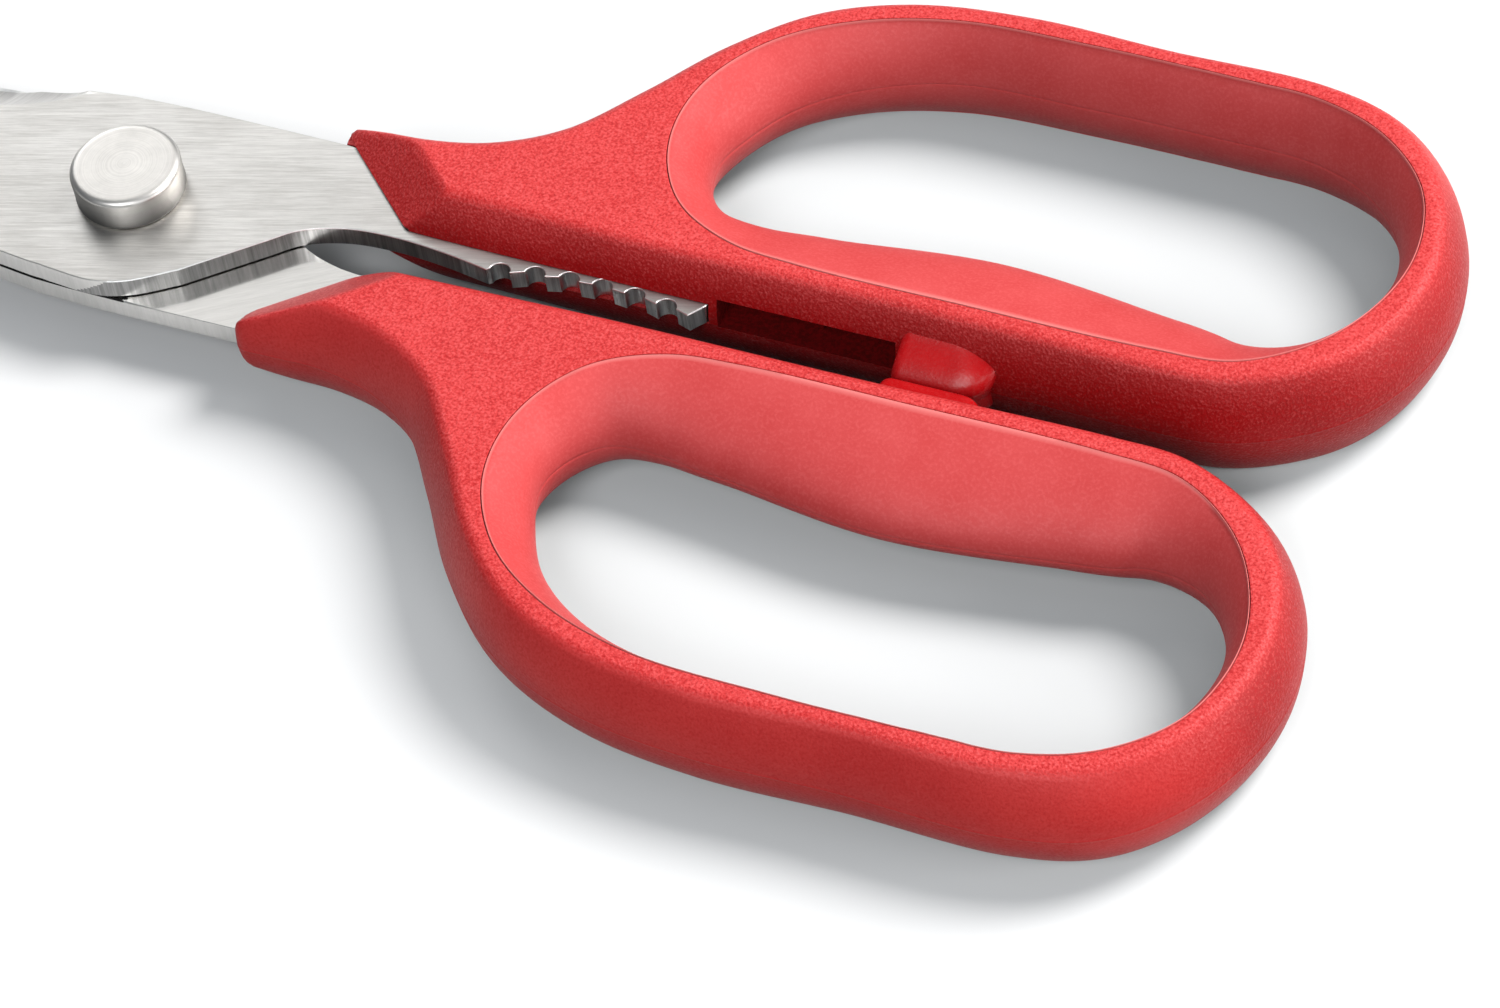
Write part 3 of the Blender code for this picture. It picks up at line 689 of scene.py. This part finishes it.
class Shader:
    """Small helper for node materials. Coordinates are object space in millimetres."""

    def __init__(self, name):
        self.material = bpy.data.materials.new(name)
        self.material.use_nodes = True
        self.tree = self.material.node_tree
        self.bsdf = self.tree.nodes["Principled BSDF"]
        self.coords = self.tree.nodes.new("ShaderNodeTexCoord")
        self.mm = self.scaled(self.coords.outputs["Object"], (1000.0, 1000.0, 1000.0))

    def put(self, socket, value):
        if isinstance(value, bpy.types.NodeSocket):
            self.tree.links.new(value, socket)
        elif socket.type == "RGBA" and len(value) == 3:
            socket.default_value = (*value, 1.0)
        else:
            socket.default_value = value

    def node(self, kind, inputs=None, **settings):
        node = self.tree.nodes.new(kind)
        for key, value in settings.items():
            setattr(node, key, value)
        for key, value in (inputs or {}).items():
            self.put(node.inputs[key], value)
        return node

    def scaled(self, vector, scale, turn=(0.0, 0.0, 0.0)):
        inputs = {"Vector": vector, "Scale": scale, "Rotation": turn}
        return self.node("ShaderNodeMapping", inputs).outputs[0]

    def noise(self, scale, detail=3.0, rough=0.55, vector=None):
        inputs = {"Vector": vector or self.mm, "Scale": scale, "Detail": detail, "Roughness": rough}
        return self.node("ShaderNodeTexNoise", inputs).outputs["Fac"]

    def cells(self, scale, smoothness):
        inputs = {"Vector": self.mm, "Scale": scale, "Smoothness": smoothness}
        return self.node("ShaderNodeTexVoronoi", inputs, feature="SMOOTH_F1").outputs["Distance"]

    def split(self, vector):
        """The vector's x, y and z."""
        return self.node("ShaderNodeSeparateXYZ", {0: vector}).outputs

    def join(self, x, y, z):
        return self.node("ShaderNodeCombineXYZ", {0: x, 1: y, 2: z}).outputs[0]

    def math(self, operation, a, b=0.5):
        return self.node("ShaderNodeMath", {0: a, 1: b}, operation=operation).outputs[0]

    def remap(self, value, low, high, to_low, to_high):
        inputs = {"Value": value, "From Min": low, "From Max": high, "To Min": to_low, "To Max": to_high}
        return self.node("ShaderNodeMapRange", inputs).outputs["Result"]

    def mix(self, factor, a, b):
        node = self.node("ShaderNodeMix", data_type="RGBA")
        for key, value in ((0, factor), (6, a), (7, b)):
            self.put(node.inputs[key], value)
        return node.outputs[2]

    def bump(self, height, distance):
        return self.node("ShaderNodeBump", {"Height": height, "Distance": distance * MM}).outputs[0]

    def finish(self, **inputs):
        for key, value in inputs.items():
            self.put(self.bsdf.inputs[key.replace("_", " ")], value)
        return self.material


def hard_red(name, side):
    """Hard plastic with a moulded stipple, finer on the outer side, paler on its flats by a painted sheen and
    darker on its sides by painted shade, darkest where the stipple is strongest.
    """
    s = Shader(name)
    normal = s.split(s.coords.outputs["Normal"])
    # How strong the stipple is, which also picks the darker painted shade, and how flat the face lies, which
    # picks the painted sheen.
    stipple = s.remap(s.math("MULTIPLY", normal[1], float(side)), 0.25, 0.65, 1.0, 0.4)
    flat = s.remap(s.math("ABSOLUTE", normal[2]), 0.40, 0.97, 0.0, 1.0)
    grain = s.noise(3.6, 2.5, 0.6)
    pits = s.cells(3.0, smoothness=0.6)
    height = s.math("MULTIPLY", s.math("ADD", grain, s.math("MULTIPLY", pits, 0.5)), stipple)
    cloud = s.remap(s.noise(0.09, 3.0), 0.35, 0.65, 0.0, 1.0)
    # Painted shade: lit and shaded copies of the red, dark on the sides and darkest where the stipple is
    # strongest.
    outer_shaded_sides = s.mix(cloud, (0.56, 0.026, 0.025), (0.62, 0.034, 0.031))
    inner_shaded_sides = s.mix(cloud, (0.30, 0.0005, 0.001), (0.36, 0.001, 0.002))
    shaded_sides = s.mix(s.remap(stipple, 0.4, 1.0, 0.0, 1.0), outer_shaded_sides, inner_shaded_sides)
    # Painted sheen: the flats are paler, as where they catch the light.
    sheen_on_flats = s.mix(cloud, (0.60, 0.033, 0.033), (0.66, 0.044, 0.044))
    base = s.mix(flat, shaded_sides, sheen_on_flats)
    amount = s.math("MULTIPLY", stipple, s.remap(flat, 0.0, 1.0, 0.24, 0.62))
    speck = s.math("MULTIPLY", s.remap(grain, 0.50, 0.66, 0.0, 1.0), amount)
    base = s.mix(speck, base, (0.82, 0.11, 0.11))
    pit = s.math("MULTIPLY", s.remap(grain, 0.48, 0.34, 0.0, 1.0), s.math("MULTIPLY", stipple, 0.75))
    colour = s.mix(pit, base, (0.42, 0.002, 0.004))
    rough = s.remap(grain, 0.3, 0.7, 0.55, 0.38)
    s.bsdf.inputs["Specular IOR Level"].default_value = 0.3
    return s.finish(Base_Color=colour, Roughness=rough, Normal=s.bump(height, 0.08), IOR=1.49)


def slot_shade_red(name):
    """The same plastic darkened by painted shade, for the faces deep in the side slot."""
    s = Shader(name)
    grain = s.noise(2.4, 3.0, 0.6)
    colour = s.mix(s.remap(grain, 0.4, 0.6, 0.0, 1.0), (0.10, 0.001, 0.001), (0.17, 0.002, 0.003))
    rough = s.remap(grain, 0.3, 0.7, 0.75, 0.6)
    s.bsdf.inputs["Specular IOR Level"].default_value = 0.15
    return s.finish(Base_Color=colour, Roughness=rough, Normal=s.bump(grain, 0.05))


def soft_red(name, low, high, shine, speck=0.3, specular=0.32):
    """Soft elastomer: smooth, paler along the seam's edge by a painted highlight, with faint clouding and a
    fine pale speck.
    """
    s = Shader(name)
    lift = s.math("ABSOLUTE", s.math("SUBTRACT", s.split(s.mm)[2], PIVOT_PLACE[2]))
    # Painted highlight along the seam's edge.
    seam_highlight = s.remap(lift, HALF_HEIGHT - 0.26, HALF_HEIGHT - 0.08, 0.0, 1.0)
    cloud = s.noise(0.16, 4.0, 0.6)
    fine = s.noise(3.0, 3.0, 0.6)
    base = s.mix(s.remap(cloud, 0.35, 0.65, 0.0, 1.0), low, high)
    specks = s.math("MULTIPLY", s.remap(fine, 0.46, 0.68, 0.0, 1.0), speck)
    base = s.mix(specks, base, (0.78, 0.14, 0.14))
    colour = s.mix(seam_highlight, base, (0.80, 0.19, 0.18))
    rough = s.remap(fine, 0.3, 0.7, shine[0], shine[1])
    s.bsdf.inputs["Specular IOR Level"].default_value = specular
    return s.finish(Base_Color=colour, Roughness=rough, Normal=s.bump(fine, 0.016), IOR=1.45)


def steel(name, stretch, dark, light, rough, turn=0.0, bump=0.006, spread=0.16, handle_shade=0.0):
    """Steel with streaks along the axis that has the smallest stretch factor, after a turn about Z.

    A larger spread makes the streaks weaker. The strip beside the handle may be darkened by painted shade, by
    up to a share.
    """
    s = Shader(name)
    turned_mm = s.scaled(s.mm, (1.0, 1.0, 1.0), (0.0, 0.0, turn))
    along_lines = s.scaled(turned_mm, stretch)
    lines = s.noise(1.0, 6.0, 0.75, along_lines)
    coarse = s.noise(0.4, 4.0, 0.6, along_lines)
    cloud = s.noise(0.12, 3.0, 0.5)
    tone = s.math("ADD", s.math("MULTIPLY", lines, 0.6), s.math("MULTIPLY", coarse, 0.4))
    tone = s.math("ADD", tone, s.math("MULTIPLY", s.math("SUBTRACT", cloud, 0.5), 0.3))
    fade = s.remap(tone, 0.5 - spread, 0.5 + spread, 0.0, 1.0)
    colour = s.mix(fade, dark, light)
    # Painted shade of the handle on the strip of the face beside it.
    if handle_shade:
        start, end = (PIVOT_PLACE[0] + x for x in (30.0, 48.0))
        colour = s.mix(s.remap(s.split(s.mm)[0], start, end, 0.0, handle_shade), colour, (0.02, 0.022, 0.022))
    roughness = s.remap(lines, 0.3, 0.7, rough[1], rough[0])
    return s.finish(Base_Color=colour, Metallic=1.0, Roughness=roughness, Normal=s.bump(lines, bump))


def round_steel(name, light, dark, rough, side=1.0):
    """Turned metal with faint rings about the pivot and a few soft marks.

    A side below 1 darkens the upright wall with painted shade, most at its foot on the blade.
    """
    s = Shader(name)
    inputs = {0: s.mm, 1: (PIVOT_PLACE[0], 0.0, 0.0)}
    x, y, z = s.split(s.node("ShaderNodeVectorMath", inputs, operation="SUBTRACT").outputs[0])
    radius = s.node("ShaderNodeVectorMath", {0: s.join(x, y, 0.0)}, operation="LENGTH").outputs["Value"]
    rings = s.noise(1.0, 5.0, 0.7, s.join(s.math("MULTIPLY", radius, 7.0), z, 0.0))
    marks = s.noise(0.55, 4.0, 0.6)
    tone = s.math("ADD", s.math("MULTIPLY", rings, 0.6), s.math("MULTIPLY", marks, 0.4))
    colour = s.mix(s.remap(tone, 0.36, 0.64, 0.0, 1.0), dark, light)
    level = s.math("ABSOLUTE", s.split(s.coords.outputs["Normal"])[2])
    # Painted shade on the upright wall, darker towards its foot.
    foot, shoulder = (PIVOT_PLACE[2] + height for height in (2.6, 5.4))
    low = s.remap(z, foot, shoulder, 1.6 * (1.0 - side), 0.75 * (1.0 - side))
    shade = s.math("MULTIPLY", s.remap(level, 0.25, 0.97, 1.0, 0.0), s.math("MINIMUM", low, 1.0))
    colour = s.mix(shade, colour, (0.02, 0.02, 0.02))
    roughness = s.remap(tone, 0.3, 0.7, rough[1], rough[0])
    return s.finish(Base_Color=colour, Metallic=1.0, Roughness=roughness, Normal=s.bump(rings, 0.008))


def paint(obj, *materials):
    """Gives a piece its materials. Its faces keep their slots, which clearing the list would reset."""
    slots = np.zeros(len(obj.data.polygons), np.int32)
    obj.data.polygons.foreach_get("material_index", slots)
    obj.data.materials.clear()
    for material in materials:
        obj.data.materials.append(material)
    obj.data.polygons.foreach_set("material_index", slots)


# ---------------------------------------------------------------- assembly

def blade_steels(half):
    """The plate's materials in the order of its slots."""
    return [
        steel(
            half + "_blade_flat", (0.26, 6.0, 1.0), (0.57, 0.555, 0.53), (0.78, 0.765, 0.74), (0.34, 0.50),
            turn=BRUSHING, bump=0.009, spread=0.12, handle_shade=0.28,
        ),
        steel(half + "_blade_spine", (4.0, 4.0, 0.3), (0.59, 0.58, 0.56), (0.69, 0.675, 0.655), (0.3, 0.42)),
        steel(half + "_blade_bevel", (4.5, 0.1, 0.1), (0.54, 0.525, 0.51), (0.76, 0.745, 0.72), (0.28, 0.42)),
        steel(
            half + "_blade_ground", (0.25, 4.2, 1.0), (0.76, 0.745, 0.72), (0.92, 0.905, 0.88), (0.10, 0.17),
            turn=GRINDING, bump=0.0012, spread=0.2,
        ),
        # Lighter steel; on the top rim of the darkened edge it is a painted highlight.
        steel(half + "_blade_edge", (5.0, 0.3, 0.3), (0.74, 0.74, 0.73), (0.92, 0.92, 0.91), (0.32, 0.5)),
        # Dark steel, the painted shade of the upright edge.
        steel(
            half + "_blade_shaded_wall", (3.6, 3.6, 0.1), (0.17, 0.17, 0.168), (0.41, 0.405, 0.395), (0.32, 0.48),
            bump=0.02, spread=0.15,
        ),
        # Near-black steel, the painted shade of the seam between the plates.
        steel(half + "_blade_seam_shade", (4.0, 4.0, 0.3), (0.01, 0.01, 0.01), (0.03, 0.03, 0.03), (0.5, 0.7)),
        steel(
            half + "_jaw_wall", (3.0, 3.0, 0.1), (0.30, 0.31, 0.31), (0.76, 0.77, 0.76), (0.24, 0.38),
            bump=0.02, spread=0.12,
        ),
    ]


def build():
    liner_red = soft_red("liner_elastomer", (0.62, 0.058, 0.058), (0.66, 0.074, 0.074), (0.58, 0.44))
    stop_red = soft_red(
        "stop_elastomer", (0.44, 0.002, 0.004), (0.52, 0.004, 0.006), (0.30, 0.18), speck=0.1, specular=0.4
    )
    for half, side, bumper in (("upper", 1, UPPER_BUMPER), ("lower", -1, LOWER_BUMPER)):
        rides = half + "_half"
        red = hard_red(half + "_moulded_plastic", side)
        slot_shade = slot_shade_red(half + "_slot_shade_plastic")
        shell = build_shell(half + "_handle_shell", side)
        liner = build_liner(half + "_finger_liner", side)
        stop = build_stop(half + "_bumper", side, **bumper)
        blade = build_blade(half + "_blade_plate", side)
        paint(shell, red, slot_shade)
        paint(liner, liner_red)
        paint(stop, stop_red)
        paint(blade, *blade_steels(half))
        for piece, node in ((shell, "handle"), (liner, "liner"), (stop, "stop"), (blade, "blade")):
            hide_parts(half + "_" + node)
            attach(piece, rides)
    cap, bolt, washer = build_pivot()
    paint(cap, round_steel("cap_steel", (0.86, 0.835, 0.80), (0.70, 0.68, 0.65), (0.34, 0.46), side=0.42))
    paint(bolt, round_steel("bolt_steel", (0.66, 0.65, 0.63), (0.5, 0.49, 0.48), (0.2, 0.34)))
    paint(washer, round_steel("washer_zinc", (0.60, 0.61, 0.63), (0.48, 0.49, 0.51), (0.3, 0.45)))
    for piece, node in ((cap, "pivot_cap"), (bolt, "pivot_bolt"), (washer, "back_washer")):
        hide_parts(node)
        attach(piece, "lower_half")
    hidden = {
        "pivot_nut": round_steel("nut_zinc", (0.60, 0.61, 0.63), (0.46, 0.47, 0.49), (0.3, 0.45)),
        "disc_spring": round_steel("spring_steel", (0.42, 0.42, 0.44), (0.28, 0.28, 0.30), (0.25, 0.4)),
        "pivot_bushing": round_steel("bushing_bronze", (0.62, 0.43, 0.20), (0.46, 0.30, 0.13), (0.3, 0.45)),
    }
    for name, material in hidden.items():
        paint(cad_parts[name], material)


# ---------------------------------------------------------------- stage

WORLD_COLOUR = (0.80, 0.90, 1.0, 1.0)
WORLD_STRENGTH = 0.118
FLOOR_REACH = 3.0
WARM = (1.0, 0.99, 0.98)
COOL = (0.97, 0.985, 1.0)

# Round lights aimed at the object: direction, distance in metres, diameter in metres, power in watts, colour.
LIGHTS = {
    "key": ((0.455, 0.455, 0.766), 1.4, 0.6, 16.2, WARM),
    "key_low": ((0.64, 0.64, 0.42), 1.4, 0.6, 4.6, WARM),
    "front": ((0.0, -0.643, 0.766), 1.4, 0.6, 4.6, COOL),
    "front_low": ((0.204, -0.761, 0.616), 1.4, 0.6, 3.6, COOL),
    "front_right_low": ((0.64, -0.64, 0.42), 1.4, 0.6, 2.4, (1.0, 1.0, 1.0)),
    "right_low": ((0.97, 0.02, 0.20), 1.4, 0.8, 11.0, WARM),
    "back_left_low": ((-0.64, 0.64, 0.42), 1.4, 0.6, 2.7, (0.98, 0.99, 1.0)),
    "back_left_sheet": ((-0.39, 0.66, 0.90), 1.5, 1.3, 3.2, (1.0, 0.985, 0.965)),
}

# Camera: where it looks from, in degrees and metres, and its focal length in picture widths.
AZIMUTH, ELEVATION, ROLL = 30.54281833, 49.71285237, -10.13575116
CAMERA_PLACE = (0.2346937, -0.3181237, 0.4176022)
SENSOR_WIDTH = 36.0
FOCAL_WIDTHS = 5422.8704 / 1500.0


def floor():
    mesh = bpy.data.meshes.new("floor")
    r = FLOOR_REACH
    mesh.from_pydata([(-r, -r, 0.0), (r, -r, 0.0), (r, r, 0.0), (-r, r, 0.0)], [], [(0, 1, 2, 3)])
    obj = put_in_scene("floor", mesh)
    s = Shader("white_floor")
    tone = s.mix(s.noise(0.01, 2.0), (0.875, 0.88, 0.885), (0.885, 0.885, 0.885))
    s.bsdf.inputs["Specular IOR Level"].default_value = 0.1
    paint(obj, s.finish(Base_Color=tone, Roughness=0.9))


def lights():
    world = bpy.data.worlds.new("studio")
    bpy.context.scene.world = world
    world.use_nodes = True
    background = world.node_tree.nodes["Background"]
    background.inputs[0].default_value = WORLD_COLOUR
    background.inputs[1].default_value = WORLD_STRENGTH
    for name, (direction, distance, size, power, colour) in LIGHTS.items():
        light = bpy.data.lights.new(name, "AREA")
        light.shape = "DISK"
        light.size = size
        light.energy = power
        light.color = colour
        obj = put_in_scene(name, light)
        towards = Vector(direction).normalized()
        obj.location = towards * distance
        obj.rotation_mode = "QUATERNION"
        obj.rotation_quaternion = towards.to_track_quat("Z", "Y")


def camera():
    """Long lens at 50 degrees above the floor, rolled a little, at the object's three-quarter view."""
    azimuth, elevation, roll = (math.radians(a) for a in (AZIMUTH, ELEVATION, ROLL))
    flat = math.cos(elevation)
    back = Vector((math.sin(azimuth) * flat, -math.cos(azimuth) * flat, math.sin(elevation)))
    right = Vector((0.0, 0.0, 1.0)).cross(back).normalized()
    up = back.cross(right)
    x = math.cos(roll) * right + math.sin(roll) * up
    y = -math.sin(roll) * right + math.cos(roll) * up
    data = bpy.data.cameras.new("camera")
    data.sensor_width = SENSOR_WIDTH
    data.lens = FOCAL_WIDTHS * SENSOR_WIDTH
    data.clip_start = 0.01
    data.clip_end = 20.0
    obj = put_in_scene("camera", data)
    turn = Matrix((x, y, back)).transposed().to_4x4()
    obj.matrix_world = Matrix.Translation(CAMERA_PLACE) @ turn
    bpy.context.scene.camera = obj


build()
floor()
lights()
camera()
bpy.context.scene.view_settings.view_transform = "Standard"
bpy.context.scene.view_settings.look = "None"
# The photograph's shadows and recesses are deep, without light sent back by the white floor.
bpy.context.scene.cycles.diffuse_bounces = 0
